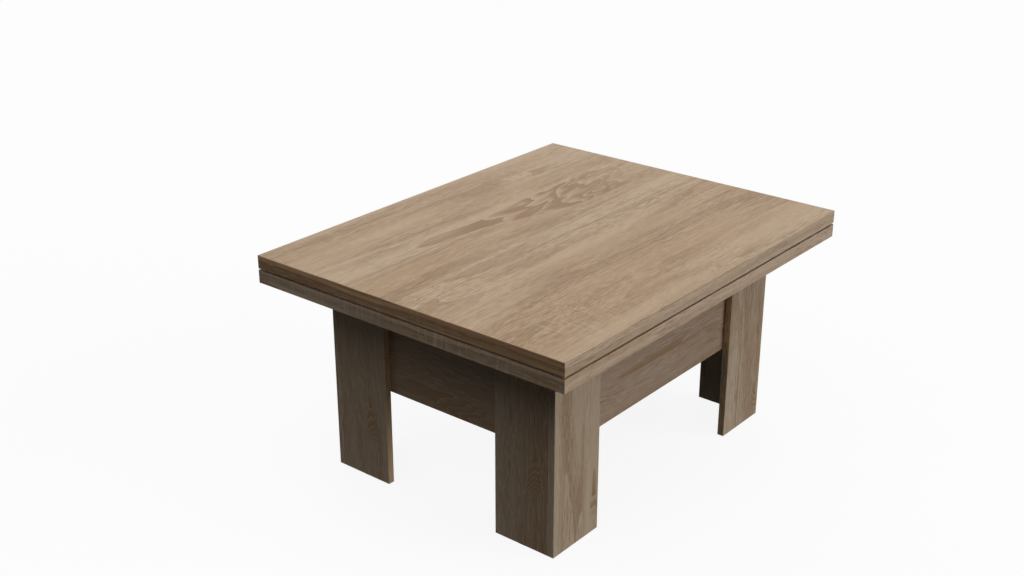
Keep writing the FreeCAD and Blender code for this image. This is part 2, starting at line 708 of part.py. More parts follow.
LUG_LOW = f"({A_TOP_Z} - lug_margin)"
LUG_OUTLINE = [
    (f"{A_TOP_Y} - lug_margin + lug_cut", LUG_LOW),
    (f"{RAIL_BACK} - lug_cut", LUG_LOW),
    (RAIL_BACK, f"{LUG_LOW} + lug_cut"),
    (RAIL_BACK, LEAF_UNDER),
    (f"{B_TOP_Y} - lug_margin", LEAF_UNDER),
    (f"{B_TOP_Y} - lug_margin", f"{B_TOP_Z} - lug_cut"),
]
rear_top_pins = []
front_top_pins = []
for name, side in SIDES:
    body = doc.addObject("PartDesign::Body", f"top_rail_{name}_lug")
    sketch = sketch_on(body, "YZ_Plane")
    outline(sketch, LUG_OUTLINE)
    hole(sketch, "rear_pin", PIN_HOLE, A_TOP_Y, A_TOP_Z)
    hole(sketch, "front_pin", PIN_HOLE, B_TOP_Y, B_TOP_Z)
    padded(body, sketch, "rail_thick")
    place(body, span(side, LUG_IN, LUG_OUT)[0], "0", "0")
    flange = block(
        f"top_rail_{name}_flange",
        span(side, FLANGE_IN, LUG_OUT),
        ("-rail_front", RAIL_BACK),
        (RAIL_LOW, LEAF_UNDER),
    )
    drills = group(f"top_rail_{name}_drills", rail_drills[:3] if side < 0 else rail_drills[3:])
    node(cut(f"top_rail_{name}", joined(f"top_rail_{name}_angle", [body, flange]), drills))

    for pins, y, z in ((rear_top_pins, A_TOP_Y, A_TOP_Z), (front_top_pins, B_TOP_Y, B_TOP_Z)):
        head_near = f"({ARM_OUT} + contact_gap)"
        head_far = f"({head_near} + pin_head_thick)"
        shank = cross_rod("top_pin_shank", "pin_radius", span(side, f"{LUG_IN} - pin_end", head_near), y, z)
        head = cross_hex("top_pin_head", "pin_head_radius", span(side, head_near, head_far), y, z)
        pins.append(joined("top_pin", [shank, head]))
node(group("rear_top_pins", rear_top_pins))
node(group("front_top_pins", front_top_pins))


# Leaves: a board core with glued edging on its four edges, notched at the back for the hinge knuckles

HINGE_Y = "(top_width / 2 + hinge_offset)"
HINGE_Z = f"({LEAF_TOP} + leaf_gap / 2)"
HINGE_PLACES = ("-hinge_spacing", "0", "hinge_spacing")
CORE_X = "(top_length / 2 - edging_thick)"
CORE_Y = "(top_width / 2 - edging_thick)"


def hinge_span(middle, low, high):
    return (f"{middle} + {low}", f"{middle} + {high}")


notch_ends = ("(-hinge_length / 2 - contact_gap)", "(hinge_length / 2 + contact_gap)")
notches = [
    cross_rod(
        "hinge_notch", "knuckle_radius + contact_gap", hinge_span(x, *notch_ends), HINGE_Y, HINGE_Z
    )
    for x in HINGE_PLACES
]
leaf_cutters = group("leaf_cutters", notches + rail_drills)


def edging_strip(label, along, x, y, z, out):
    """A strip of edging along X or Y, with its two outer long edges eased."""
    body = doc.addObject("PartDesign::Body", label)
    width = f"({x[1]}) - ({x[0]})"
    depth = f"({y[1]}) - ({y[0]})"
    sketch = sketch_on(body, "XY_Plane")
    outline(sketch, [("0", "0"), (width, "0"), (width, depth), ("0", depth)])
    pad = padded(body, sketch, f"({z[1]}) - ({z[0]})")
    outer = value("edging_thick") if out > 0 else 0
    middle = value(width if along == "x" else depth) / 2

    def long_outer(point):
        across, down = (point.y, point.x) if along == "x" else (point.x, point.y)
        return math.isclose(across, outer, abs_tol=TOUCH) and math.isclose(down, middle, abs_tol=TOUCH)

    eased(body, pad, "edging_ease", long_outer)
    place(body, x[0], y[0], z[0])
    return body


for label, low, high in (
    ("lower_leaf", LEAF_UNDER, LEAF_TOP),
    ("upper_leaf", UPPER_UNDER, f"({UPPER_UNDER} + leaf_thick)"),
):
    core = block(f"{label}_core", (f"-{CORE_X}", CORE_X), (f"-{CORE_Y}", CORE_Y), (low, high))
    node(cut(label, core, leaf_cutters))
    strips = []
    for out in (-1, 1):
        x = span(out, CORE_X, "top_length / 2")
        strips.append(
            edging_strip(f"{label}_end_strip", "y", x, (f"-{CORE_Y}", CORE_Y), (low, high), out)
        )
        y = span(out, CORE_Y, "top_width / 2")
        strip = edging_strip(
            f"{label}_side_strip", "x", ("-top_length / 2", "top_length / 2"), y, (low, high), out
        )
        strips.append(cut(f"{label}_notched_strip", strip, leaf_cutters) if out > 0 else strip)
    node(group(f"{label}_edging", strips))

bumpers = []
for end in (-1, 1):
    for back in (-1, 1):
        x = f"{end} * (top_length / 2 - bumper_inset)"
        y = f"{back} * (top_width / 2 - bumper_inset)"
        bumpers.append(square("leaf_bumper", "bumper_side", x, y, (LEAF_TOP, UPPER_UNDER)))
node(group("leaf_bumpers", bumpers))


# Leaf hinges: thin plates in the gap between the leaves, with knuckles on one pin behind the back edge

PLATE = "(leaf_gap / 2 - hinge_play)"
PLATE_Y = ("top_width / 2 - hinge_reach", f"{HINGE_Y} - knuckle_radius - contact_gap")
TONGUE_Y = (f"{PLATE_Y[1]} - contact_gap", HINGE_Y)
LEFT_KNUCKLE = ("-hinge_length / 2", "-knuckle_gap / 2")
RIGHT_KNUCKLE = ("knuckle_gap / 2", "hinge_length / 2")


def hinge_plate(label, middle, z, knuckle):
    """A hinge plate with its knuckle, bored for the pin."""
    whole = hinge_span(middle, "-hinge_length / 2", "hinge_length / 2")
    x = hinge_span(middle, *knuckle)
    plate = block("plate", whole, PLATE_Y, z)
    tongue = block("tongue", x, TONGUE_Y, z)
    barrel = cross_rod("knuckle", "knuckle_radius", x, HINGE_Y, HINGE_Z)
    bore = cross_rod("knuckle_bore", "hinge_pin_radius + pivot_fit", whole, HINGE_Y, HINGE_Z)
    return cut(label, joined(f"{label}_blank", [plate, tongue, barrel]), bore)


LOWER_PLATE_Z = (LEAF_TOP, f"{LEAF_TOP} + {PLATE}")
UPPER_PLATE_Z = (f"{UPPER_UNDER} - {PLATE}", UPPER_UNDER)
lower_plates = [hinge_plate("lower_plate", x, LOWER_PLATE_Z, LEFT_KNUCKLE) for x in HINGE_PLACES]
upper_plates = [hinge_plate("upper_plate", x, UPPER_PLATE_Z, RIGHT_KNUCKLE) for x in HINGE_PLACES]
hinge_pins = [
    cross_rod(
        "hinge_pin",
        "hinge_pin_radius",
        hinge_span(x, "-hinge_length / 2", "hinge_length / 2"),
        HINGE_Y,
        HINGE_Z,
    )
    for x in HINGE_PLACES
]
node(group("hinge_lower_plates", lower_plates))
node(group("hinge_upper_plates", upper_plates))
node(group("hinge_pins", hinge_pins))


# Every object is checked before any file is written

doc.recompute()
failed = [item.Label for item in doc.Objects if {"Invalid", "Error"} & set(item.State)]
if failed:
    raise RuntimeError(f"these objects failed: {failed}")
for item in NODES:
    if item.Shape.isNull() or not item.Shape.isValid() or not item.Shape.Solids:
        raise RuntimeError(f"{item.Label} has no valid solid")
for item in NODES:
    item.Shape.exportStep(f"parts/{item.Label}.step")
print(f"{len(NODES)} nodes, {sum(len(item.Shape.Solids) for item in NODES)} solids")
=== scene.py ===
import json
import math

import bmesh
import bpy
from mathutils import Matrix, Vector


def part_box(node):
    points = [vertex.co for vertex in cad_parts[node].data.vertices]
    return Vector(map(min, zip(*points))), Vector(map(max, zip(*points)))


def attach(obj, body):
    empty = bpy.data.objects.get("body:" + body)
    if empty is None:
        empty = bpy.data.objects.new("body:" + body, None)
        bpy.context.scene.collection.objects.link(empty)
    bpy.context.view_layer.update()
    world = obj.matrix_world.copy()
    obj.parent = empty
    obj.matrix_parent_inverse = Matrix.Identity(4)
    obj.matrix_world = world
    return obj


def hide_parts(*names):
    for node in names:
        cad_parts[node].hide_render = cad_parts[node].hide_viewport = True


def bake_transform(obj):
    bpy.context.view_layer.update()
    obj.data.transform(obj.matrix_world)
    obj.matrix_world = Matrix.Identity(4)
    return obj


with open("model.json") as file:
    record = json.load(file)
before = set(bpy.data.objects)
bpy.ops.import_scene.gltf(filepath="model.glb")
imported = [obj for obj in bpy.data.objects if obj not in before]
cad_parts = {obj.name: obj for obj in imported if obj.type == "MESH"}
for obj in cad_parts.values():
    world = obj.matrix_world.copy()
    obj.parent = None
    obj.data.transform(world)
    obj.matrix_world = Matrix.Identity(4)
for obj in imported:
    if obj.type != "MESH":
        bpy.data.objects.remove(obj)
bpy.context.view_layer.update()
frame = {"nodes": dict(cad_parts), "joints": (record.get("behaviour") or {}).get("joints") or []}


# Apron box: four boards of chipboard, faced with printed oak paper under melamine and screwed together
# at the corners. The long boards cover the ends of the short ones.

nodes = frame["nodes"]
mm = 0.001


def linear(colour):
    """An sRGB hex colour as linear red, green, blue and alpha."""
    parts = [int(colour[i:i + 2], 16) / 255 for i in (1, 3, 5)]
    return [c / 12.92 if c <= 0.04045 else ((c + 0.055) / 1.055) ** 2.4 for c in parts] + [1.0]


def add(tree, kind, inputs=(), out=None, **settings):
    """A shader node with its settings, and its inputs set or linked by name or by their count among those
    that show. A MapRange counts value, from low, from high, to low, to high. Gives the output that is
    asked for, or else the first one."""
    item = tree.nodes.new("ShaderNode" + kind)
    for key, setting in settings.items():
        setattr(item, key, setting)
    shown = [socket for socket in item.inputs if socket.enabled]
    for key, source in dict(inputs).items():
        socket = shown[key] if isinstance(key, int) else item.inputs[key]
        if isinstance(source, bpy.types.NodeSocket):
            tree.links.new(source, socket)
        else:
            socket.default_value = source
    if out:
        return item.outputs[out]
    return next((socket for socket in item.outputs if socket.enabled), None)


def material(name):
    """A new material with its node tree and the shader that makes its surface."""
    made = bpy.data.materials.new(name)
    made.use_nodes = True
    return made, made.node_tree, made.node_tree.nodes["Principled BSDF"]


def finish_nodes(made, *names):
    """Give one material to CAD nodes whose shape is right as it is."""
    for name in names:
        nodes[name].data.materials.clear()
        nodes[name].data.materials.append(made)


def grain_axes(tree, order, cut_at=(0, 0, 0)):
    """The place on the piece in millimetres, as along the grain, across the face and into the board,
    moved to where on the print the piece was cut."""
    place = add(tree, "TexCoord", out="Object")
    place = add(tree, "VectorMath", {0: place, 1: (1 / mm,) * 3, 2: cut_at}, operation="MULTIPLY_ADD")
    axes = add(tree, "SeparateXYZ", {0: place}).node.outputs
    return add(tree, "CombineXYZ", {i: axes[axis.upper()] for i, axis in enumerate(order)})


# Oak-print melamine: pressed paper with broad tone bands, streaks, pore dashes and pale saw marks, under
# a matt resin that gives a low, even shine.
heart, pore, chalk = linear("#8E6F50"), linear("#80664C"), linear("#CEBCA2")


def oak_flame(tree, colour, axes, marks, tip, way, lean, tongue, belly, first, reach):
    """A flame figure over the print, where the saw met the heart of the log: a smooth tongue that opens
    into a wider belly, crossed by rings that crowd together and are torn by the wave of the grain.

    In millimetres, tip is its place along and across the grain, tongue and belly are half widths, first
    is how far the first ring is from the tip, and reach is where the figure has faded. It runs one way
    along the grain, and leans sideways by a share of its run."""
    tip_along, tip_across = tip
    run = add(tree, "Math", {0: axes[0], 1: way, 2: -way * tip_along}, operation="MULTIPLY_ADD")
    off = add(tree, "Math", {0: axes[1], 1: tip_across}, operation="SUBTRACT")
    off = add(tree, "Math", {0: run, 1: lean, 2: off}, operation="MULTIPLY_ADD")

    # The outline, as the square of the half width along the run, with a soft edge. It opens at shares
    # of the way to the first ring
    near = add(tree, "MapRange", {0: run, 2: 0.25 * first, 4: tongue ** 2})
    opening = {0: run, 1: 0.7 * first, 2: 1.7 * first, 4: belly ** 2 - tongue ** 2}
    widening = add(tree, "MapRange", opening, interpolation_type="SMOOTHSTEP")
    room = add(tree, "Math", {0: near, 1: widening}, operation="ADD")
    room = add(tree, "Math", {0: room, 1: -1.0}, operation="MULTIPLY")
    past = add(tree, "Math", {0: off, 1: off, 2: room}, operation="MULTIPLY_ADD")
    soft_edge = {0: past, 1: 0.0, 2: -0.3 * tongue ** 2}
    inside = add(tree, "MapRange", soft_edge, interpolation_type="SMOOTHSTEP")
    fading = add(tree, "MapRange", {0: run, 1: reach, 2: 0.6 * reach}, interpolation_type="SMOOTHSTEP")
    inside = add(tree, "Math", {0: inside, 1: fading}, operation="MULTIPLY")

    # The rings are counted along the run, on a slant across it, and moved by tears that grow from the
    # tongue to the belly. A power over 1 makes them crowd together
    tearing = {0: run, 1: 0.5 * first, 2: 1.2 * first, 3: 0.2 * first, 4: 1.5 * first}
    wild = add(tree, "MapRange", tearing, interpolation_type="SMOOTHSTEP")
    tear = add(tree, "Math", {0: marks["tears"], 1: 0.5}, operation="SUBTRACT")
    torn = add(tree, "Math", {0: tear, 1: wild, 2: run}, operation="MULTIPLY_ADD")
    slant, crowding = -0.6, 1.8
    count = add(tree, "Math", {0: off, 1: slant, 2: torn}, operation="MULTIPLY_ADD")
    count = add(tree, "MapRange", {0: count, 2: first, 4: 1.0}, clamp=False)
    count = add(tree, "Math", {0: count, 1: 0.0}, operation="MAXIMUM")
    count = add(tree, "Math", {0: count, 1: crowding}, operation="POWER")
    ring = add(tree, "Math", {0: count}, operation="FRACT")

    # The tongue is streaked heartwood. After it each ring darkens slowly and ends in a pale line
    lines = add(tree, "MapRange", {0: marks["streaks"], 1: 0.35, 2: 0.65, 3: 0.4, 4: 0.85})
    start = add(tree, "MapRange", {0: count, 1: 0.9, 2: 1.05, 3: lines, 4: 0.05})
    for low, high, least, most, shade in (
        (0.0, 0.75, start, 0.95, heart),
        (0.90, 0.99, 0.0, 0.5, chalk),
    ):
        ends = {0: ring, 1: low, 2: high, 3: least, 4: most}
        share = add(tree, "MapRange", ends, interpolation_type="SMOOTHSTEP")
        share = add(tree, "Math", {0: share, 1: inside}, operation="MULTIPLY")
        colour = add(tree, "Mix", {0: share, 1: colour, 2: shade}, data_type="RGBA")
    return colour


def oak_print(tree, shader, grain, light, dark, streak, band=105, saw=0.25, saw_from=0.52, figures=()):
    """The colour, shine and emboss of the print. What differs from piece to piece is how strong the
    streaks and saw marks are, how wide a tone band is in millimetres, where the saw marks set in, and
    the flame figures."""

    # The grain wanders sideways, mostly by less than 10 mm, in waves about 420 mm long
    wave_long, wave_wide, wave_most = 420, 130, 24
    spot = add(tree, "VectorMath", {0: grain, 1: (wave_long, wave_wide, wave_wide)}, operation="DIVIDE")
    drift = add(tree, "TexNoise", {"Vector": spot, "Scale": 1.0, "Detail": 1.0})
    sway = add(tree, "MapRange", {0: drift, 3: -wave_most, 4: wave_most})
    sideways = add(tree, "CombineXYZ", {1: sway, 2: sway})
    grain = add(tree, "VectorMath", {0: grain, 1: sideways}, operation="ADD")

    # Length along the grain and width across it of each kind of mark, in millimetres, and its detail.
    # Real pores are 0.3 mm wide and saw lines 1 mm apart: both are drawn coarser so that they show
    marks = {}
    for mark, along, across, detail in (
        ("bands", 1500, band, 2.0),
        ("zones", 600, 75, 2.0),
        ("streaks", 480, 5, 3.0),
        ("pores", 34, 2.0, 2.0),
        ("saw_lines", 6, 80, 1.0),
        ("saw_zones", 260, 130, 2.0),
        ("tears", 120, 32, 1.0),
    ):
        spot = add(tree, "VectorMath", {0: grain, 1: (along, across, across)}, operation="DIVIDE")
        marks[mark] = add(tree, "TexNoise", {"Vector": spot, "Scale": 1.0, "Detail": detail})

    # Growth rings darken slowly across the grain and then end sharply. They are about 15 mm apart on
    # boards and 2 mm on edging, and go with the strength of the streaks up to a limit
    rings_per_band, ring_share, ring_limit = 7.0, 1.3, 0.6
    level = add(tree, "Math", {0: marks["bands"], 1: rings_per_band}, operation="MULTIPLY")
    marks["rings"] = add(tree, "Math", {0: level}, operation="FRACT")
    ring_most = add(tree, "Math", {0: streak, 1: ring_share}, operation="MULTIPLY")
    ring_most = add(tree, "Math", {0: ring_most, 1: ring_limit}, operation="MINIMUM")

    # Each mark is laid over the last. It sets in between two levels of its pattern, and outside its
    # zone it fades to a small share, because the print has no hard borders
    zone_fade, zone_least = 0.24, 0.15
    colour = light
    shares = {}
    for mark, low, high, within, zone_from, most, shade in (
        ("bands", 0.36, 0.66, None, 0.0, 0.9, dark),
        ("rings", 0.35, 0.97, "zones", 0.38, ring_most, heart),
        ("streaks", 0.52, 0.64, "zones", 0.38, streak, heart),
        ("streaks", 0.46, 0.30, "bands", 0.38, 0.22, chalk),
        ("pores", 0.45, 0.35, "streaks", 0.38, 0.45, chalk),
        ("pores", 0.53, 0.63, "zones", 0.38, 0.62, pore),
        ("saw_lines", 0.52, 0.72, "saw_zones", saw_from, saw, chalk),
    ):
        ends = {0: marks[mark], 1: low, 2: high, 4: most}
        share = add(tree, "MapRange", ends, interpolation_type="SMOOTHSTEP")
        if within:
            ends = {0: marks[within], 1: zone_from, 2: zone_from + zone_fade, 3: zone_least}
            zone = add(tree, "MapRange", ends, interpolation_type="SMOOTHSTEP")
            share = add(tree, "Math", {0: share, 1: zone}, operation="MULTIPLY")
        colour = add(tree, "Mix", {0: share, 1: colour, 2: shade}, data_type="RGBA")
        shares[mark] = share

    axes = add(tree, "SeparateXYZ", {0: grain}).node.outputs
    for figure in figures:
        colour = oak_flame(tree, colour, axes, marks, **figure)
    tree.links.new(colour, shader.inputs["Base Color"])

    # The matt resin reflects little and is duller on the streaks, with the pores pressed in and the saw
    # lines raised
    smooth, dull = 0.48, 0.6
    sheen = add(tree, "MapRange", {0: marks["streaks"], 1: 0.3, 2: 0.7, 3: smooth, 4: dull})
    tree.links.new(sheen, shader.inputs["Roughness"])
    press = add(tree, "Math", {0: shares["saw_lines"], 1: shares["pores"]}, operation="SUBTRACT")
    emboss = add(tree, "Bump", {"Strength": 0.3, "Distance": 0.1 * mm, "Height": press})
    tree.links.new(emboss, shader.inputs["Normal"])
    shader.inputs["IOR"].default_value = 1.5
    shader.inputs["Specular IOR Level"].default_value = 0.12


def oak_board(name, order, tones, edge=None, seam=None, streak=0.45, cut_at=(0, 0, 0), **print_marks):
    """An oak print for a board. Edges that look out from the middle of the table along one axis, or in
    towards it, may have their own run, tones and streaks, and faces that look up or down may be painted
    dark brown as painted shade of the gap where two leaves meet."""
    made, tree, shader = material(name)
    grain = grain_axes(tree, order, cut_at)
    shades = [linear(tone) for tone in tones]
    if edge:
        # Facing times place is far over nought on an edge that looks outward, and far under it on one
        # that looks inward, since no such edge is near the middle
        near_middle = 100 * mm
        facing = add(tree, "SeparateXYZ", {0: add(tree, "TexCoord", out="Normal")}, out=edge["axis"])
        from_middle = add(tree, "SeparateXYZ", {0: add(tree, "TexCoord", out="Object")}, out=edge["axis"])
        looks_out = add(tree, "Math", {0: facing, 1: from_middle}, operation="MULTIPLY")
        looks_that_way = add(tree, "Math", {0: looks_out, 1: edge["way"]}, operation="MULTIPLY")
        on_face = add(tree, "Math", {0: looks_that_way, 1: near_middle}, operation="LESS_THAN")
        edge_grain = grain_axes(tree, edge["order"])
        grain = add(tree, "Mix", {0: on_face, 1: edge_grain, 2: grain}, data_type="VECTOR")
        for i, tone in enumerate(edge["tones"]):
            shades[i] = add(tree, "Mix", {0: on_face, 1: linear(tone), 2: shades[i]}, data_type="RGBA")
        streak = add(tree, "Mix", {0: on_face, 1: edge["streak"], 2: streak})
    # Faces of a strip that look up or down take a dark brown: painted shade of the gap where the two
    # leaves meet, laid on the scraped arris of the strip
    if seam:
        core_starts, core_whole = 0.3 * seam["way"], 0.6 * seam["way"]
        upward = add(tree, "SeparateXYZ", {0: add(tree, "TexCoord", out="Normal")}, out="Z")
        on_seam = add(tree, "MapRange", {0: upward, 1: core_starts, 2: core_whole})
        core = linear(seam["core"])
        shades = [add(tree, "Mix", {0: on_seam, 1: tone, 2: core}, data_type="RGBA") for tone in shades]
    oak_print(tree, shader, grain, *shades, streak, **print_marks)
    return made


# The aprons' tones are darker than the legs', the short ones more: painted shade under the overhang of the
# top and on the ends that the light reaches least
shaded_long_apron_tones, shaded_short_apron_tones = ("#A7917D", "#937A65"), ("#A18E78", "#8B755E")
long_smudge = dict(tip=(-175, 300), way=1, lean=-0.03, tongue=9, belly=14, first=280, reach=330)
short_flame = dict(tip=(118, 262), way=-1, lean=0.12, tongue=12, belly=26, first=110, reach=300)
long_print = oak_board("oak_melamine_long_apron", "xzy", shaded_long_apron_tones, figures=[long_smudge])
short_print = oak_board("oak_melamine_short_apron", "yzx", shaded_short_apron_tones, figures=[short_flame])
finish_nodes(long_print, "apron_front", "apron_back")
finish_nodes(short_print, "apron_left", "apron_right")


# Legs: each corner is two boards of the same faced chipboard, with the grain upright, dowelled into an L
# and screwed to the aprons from inside. Their edges that look inward are a pale tan, partly their own
# plain tone and partly painted light on edges that stand in shade, and they stand on small squares of
# felt.

outward, inward = 1, -1
# The inward edges' pale tan is partly their own plain tone and partly painted light on edges that stand in
# shade
tan_and_painted_light_tones, tan_streak = ("#EED0A8", "#DEBC92"), 0.1
long_flames = [
    dict(tip=(95, 372), way=-1, lean=0.0, tongue=5, belly=14, first=32, reach=95),
    dict(tip=(150, -266), way=-1, lean=0.0, tongue=6, belly=13, first=70, reach=125),
]
short_flames = [
    dict(tip=(205, 200), way=-1, lean=0.0, tongue=6, belly=16, first=40, reach=130),
    dict(tip=(238, -258), way=-1, lean=-0.1, tongue=6, belly=16, first=40, reach=140),
]
# The short boards have darker tones than the long ones: painted shade for the ends of the table that the
# light reaches least
for side, order, axis, edge_order, tones, flames in (
    ("long", "zxy", "X", "zyx", ("#BAA68F", "#A38C73"), long_flames),
    ("short", "zyx", "Y", "zxy", ("#AF9C87", "#99846C"), short_flames),
):
    inward_edge = dict(axis=axis, way=inward, order=edge_order, tones=tan_and_painted_light_tones, streak=tan_streak)
    upright = dict(edge=inward_edge, streak=0.5, saw=0.1, figures=flames)
    leg_print = oak_board(f"oak_melamine_{side}_leg", order, tones, **upright)
    boards = [name for name in nodes if name.startswith("leg_") and name.endswith(f"_{side}")]
    finish_nodes(leg_print, *boards)

# Turned beech: pale pinkish wood with a dull face and short fine fibres, drawn coarser so that they show
beech, tree, shader = material("turned_beech")
fibre_long, fibre_wide = 40, 1.5
fibre_size = (fibre_long, fibre_wide, fibre_wide)
spot = add(tree, "VectorMath", {0: grain_axes(tree, "yxz"), 1: fibre_size}, operation="DIVIDE")
fibres = add(tree, "TexNoise", {"Vector": spot, "Scale": 1.0, "Detail": 2.0})
shade = {0: fibres, 1: linear("#D8B68A"), 2: linear("#B98F60")}
tree.links.new(add(tree, "Mix", shade, data_type="RGBA"), shader.inputs["Base Color"])
shader.inputs["Roughness"].default_value = 0.6
finish_nodes(beech, "leg_dowels")


# Felt: pads cut from pressed wool, under the legs, on the aprons where the closed top lands, and between
# the two leaves, each glued on.

# Pressed felt: matted fibres give a dull mottled face with a soft edge of light
felt, tree, shader = material("pressed_felt")
tuft = 1.2 * mm
place = add(tree, "TexCoord", out="Object")
fuzz = add(tree, "TexNoise", {"Vector": place, "Scale": 1 / tuft, "Detail": 4.0, "Roughness": 0.7})
mottle = {0: fuzz, 1: linear("#3E332A"), 2: linear("#6E5F50")}
tree.links.new(add(tree, "Mix", mottle, data_type="RGBA"), shader.inputs["Base Color"])
nap = add(tree, "Bump", {"Strength": 0.6, "Distance": 0.4 * mm, "Height": fuzz})
tree.links.new(nap, shader.inputs["Normal"])
shader.inputs["Roughness"].default_value = 0.95
shader.inputs["Sheen Weight"].default_value = 0.35
finish_nodes(felt, "floor_glides", "rest_pads", "leaf_bumpers")


# Lift: brackets, arms, tubes and rails cut and welded from mild steel, then powder coated black. The
# brackets are screwed to the short aprons and the rails to the lower leaf.

# Black powder coat: baked plastic with a fine orange-peel face, a soft shine and a faint cloudiness
powder, tree, shader = material("black_powder_coat")
peel_size, cloud_size = 1.6 * mm, 45 * mm
place = add(tree, "TexCoord", out="Object")
peel = add(tree, "TexNoise", {"Vector": place, "Scale": 1 / peel_size, "Detail": 2.0})
cloud = add(tree, "TexNoise", {"Vector": place, "Scale": 1 / cloud_size, "Detail": 3.0})
coat = {0: cloud, 1: linear("#1C1C1E"), 2: linear("#2A2A2C")}
tree.links.new(add(tree, "Mix", coat, data_type="RGBA"), shader.inputs["Base Color"])
tree.links.new(add(tree, "MapRange", {0: peel, 3: 0.38, 4: 0.56}), shader.inputs["Roughness"])
skin = add(tree, "Bump", {"Strength": 0.3, "Distance": 0.15 * mm, "Height": peel})
tree.links.new(skin, shader.inputs["Normal"])
finish_nodes(
    powder,
    "lift_bracket_left",
    "lift_bracket_right",
    "stop_pins",
    "spring_rail",
    "rear_arm_left",
    "rear_arm_right",
    "axle_tube",
    "spring_seat_pins",
    "front_arm_left",
    "front_arm_right",
    "front_arm_tube",
    "top_rail_left",
    "top_rail_right",
)


# Pivot pins, hinges and apron screws: turned or pressed steel with a thin plate of bright zinc. The
# axle tube turns on its pins in bushes that are moulded from natural nylon.

# Bright zinc plate: thin, a little blue and cloudy, and duller in some clouds than in others
zinc, tree, shader = material("bright_zinc_plate")
cloud_size = 14 * mm
place = add(tree, "TexCoord", out="Object")
cloud = add(tree, "TexNoise", {"Vector": place, "Scale": 1 / cloud_size, "Detail": 4.0})
plate = {0: cloud, 1: linear("#A2A7AD"), 2: linear("#82878D")}
tree.links.new(add(tree, "Mix", plate, data_type="RGBA"), shader.inputs["Base Color"])
tree.links.new(add(tree, "MapRange", {0: cloud, 3: 0.24, 4: 0.42}), shader.inputs["Roughness"])
shader.inputs["Metallic"].default_value = 1.0
finish_nodes(
    zinc,
    "apron_screws",
    "axle_pins",
    "front_arm_pins",
    "rear_top_pins",
    "front_top_pins",
    "hinge_lower_plates",
    "hinge_upper_plates",
    "hinge_pins",
)

# Natural nylon: moulded, milky and waxy, with light just inside its surface
nylon, tree, shader = material("natural_nylon")
flow_size = 8 * mm
place = add(tree, "TexCoord", out="Object")
flow = add(tree, "TexNoise", {"Vector": place, "Scale": 1 / flow_size, "Detail": 2.0})
milky = {0: flow, 1: linear("#E6E2D6"), 2: linear("#D8D2C2")}
tree.links.new(add(tree, "Mix", milky, data_type="RGBA"), shader.inputs["Base Color"])
shader.inputs["Roughness"].default_value = 0.42
shader.inputs["Subsurface Weight"].default_value = 0.15
shader.inputs["Subsurface Scale"].default_value = 2 * mm
finish_nodes(nylon, "axle_bushes")


# Screws: countersunk wood screws with a cross recess, plated with zinc and driven flush. Each takes its
# place and its way from the plain screw that it stands for, and all screws of a node take the length of
# the last one.

screw_head, screw_shank = 4 * mm, 2 * mm


def islands(node):
    """The vertices of each separate solid of a node, with the solids in order of their middles."""
    work = bmesh.new()
    work.from_mesh(nodes[node].data)
    bmesh.ops.remove_doubles(work, verts=work.verts, dist=0.001 * mm)
    left = set(work.verts)
    found = []
    while left:
        reached = {left.pop()}
        newest = set(reached)
        while newest:
            newest = {other for v in newest for link in v.link_edges for other in link.verts} - reached
            reached |= newest
        left -= reached
        found.append([v.co.copy() for v in reached])
    work.free()
    return sorted(found, key=lambda spots: tuple(round(c, 4) for c in sum(spots, Vector()) / len(spots)))


def span(spots):
    """The lowest and the highest corner of some points."""
    return [Vector([end(spot[i] for spot in spots) for i in range(3)]) for end in (min, max)]


def screw_mesh(head, shank, length):
    """A countersunk screw along +Z from the face of its head, with a cross cut into the face. Head and
    shank are radii."""
    work = bmesh.new()
    turns = 24
    face, chamfer = 0.94 * head, 0.06 * head
    sink = head - shank
    point, tip = 2 * shank, 0.15 * shank
    profile = [(face, 0), (head, chamfer), (shank, sink), (shank, length - point), (tip, length)]
    spin = [2 * math.pi * i / turns for i in range(turns)]
    loops = []
    for radius, depth in profile:
        loops.append([work.verts.new((radius * math.cos(a), radius * math.sin(a), depth)) for a in spin])
    for low, high in zip(loops, loops[1:]):
        for i in range(turns):
            work.faces.new((low[i], low[i - 1], high[i - 1], high[i]))
    work.faces.new(loops[-1][::-1])

    # The cross narrows from its rim to its bed
    arm, slot, recess = 0.58 * head, 0.13 * head, 0.4 * head
    taper = 0.75
    cross = [(arm, slot), (slot, slot), (slot, arm)]
    quarter = [Matrix.Rotation(math.pi / 2 * i, 3, "Z") for i in range(4)]
    rim = [work.verts.new(turn @ Vector((x, y, 0))) for turn in quarter for x, y in cross]
    bed = [work.verts.new((v.co.x * taper, v.co.y * taper, recess)) for v in rim]
    for i in range(len(rim)):
        work.faces.new((rim[i - 1], rim[i], bed[i], bed[i - 1]))
    work.faces.new(bed)
    edges = [work.edges.get((loops[0][i - 1], loops[0][i])) for i in range(turns)]
    edges += [work.edges.get((rim[i - 1], rim[i])) for i in range(len(rim))]
    bmesh.ops.triangle_fill(work, use_beauty=True, use_dissolve=False, edges=edges)
    bmesh.ops.recalc_face_normals(work, faces=work.faces)
    made = bpy.data.meshes.new("countersunk_screw")
    work.to_mesh(made)
    work.free()
    return made


